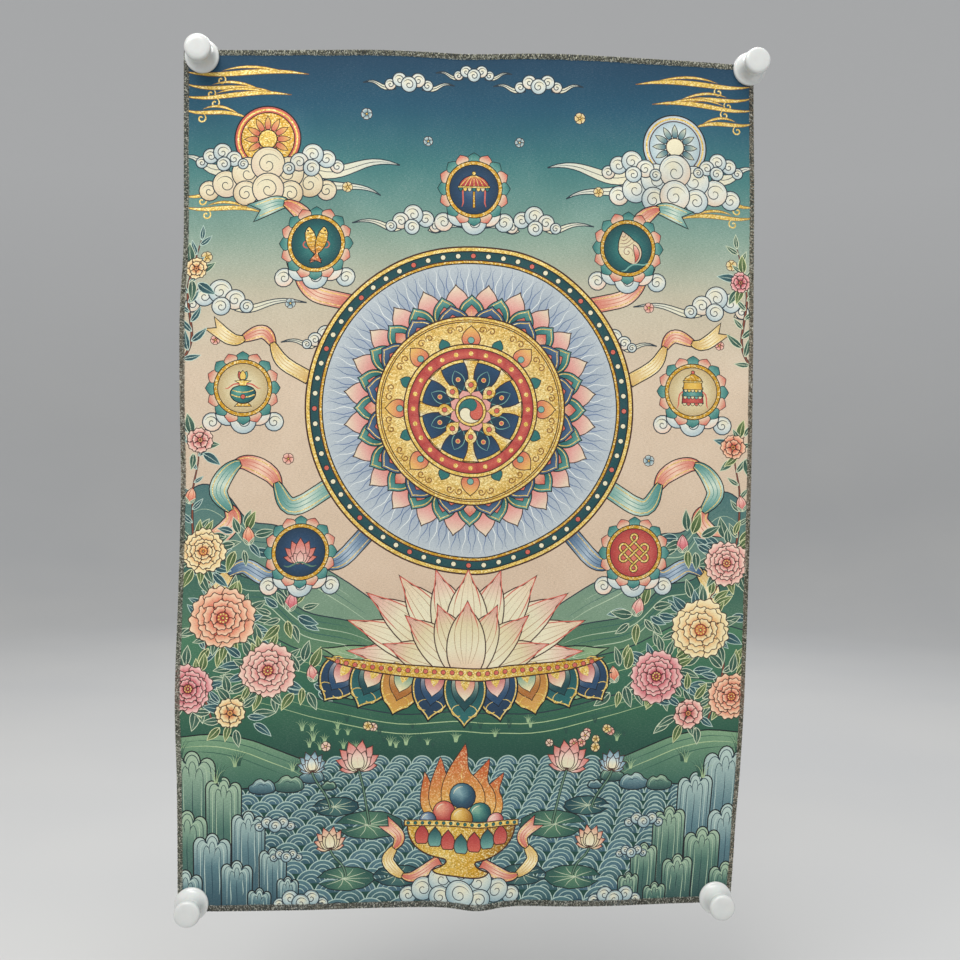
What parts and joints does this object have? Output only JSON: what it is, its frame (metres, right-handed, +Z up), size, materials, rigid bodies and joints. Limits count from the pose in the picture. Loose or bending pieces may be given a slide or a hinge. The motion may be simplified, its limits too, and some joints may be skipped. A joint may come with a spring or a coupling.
{
  "type": "thangka brocade wall hanging with push pins",
  "caption": "Upright rectangular woven brocade thangka panel with an overlocked edge, hung flat on a wall by round spool push pins at its corners, with soft shallow folds.",
  "frame": {"origin": "middle of the panel's top edge, on the wall plane that the pinned corners touch", "axes": "+Z up along the panel's long side, +Y into the wall square to the panel, +X to the right as seen from the front; the face of the cloth looks along -Y"},
  "size_m": [0.6182, 0.0351, 0.9296],
  "materials": {
    "brocade": "jacquard-woven silk brocade with gold metallic thread, soft satin sheen",
    "white_plastic": "white moulded plastic, semi-gloss"
  },
  "bodies": {
    "root": {"cloth_panel": "brocade", "pin_top_left": "white_plastic", "pin_top_right": "white_plastic", "pin_bottom_left": "white_plastic", "pin_bottom_right": "white_plastic"}
  },
  "joints": []
}
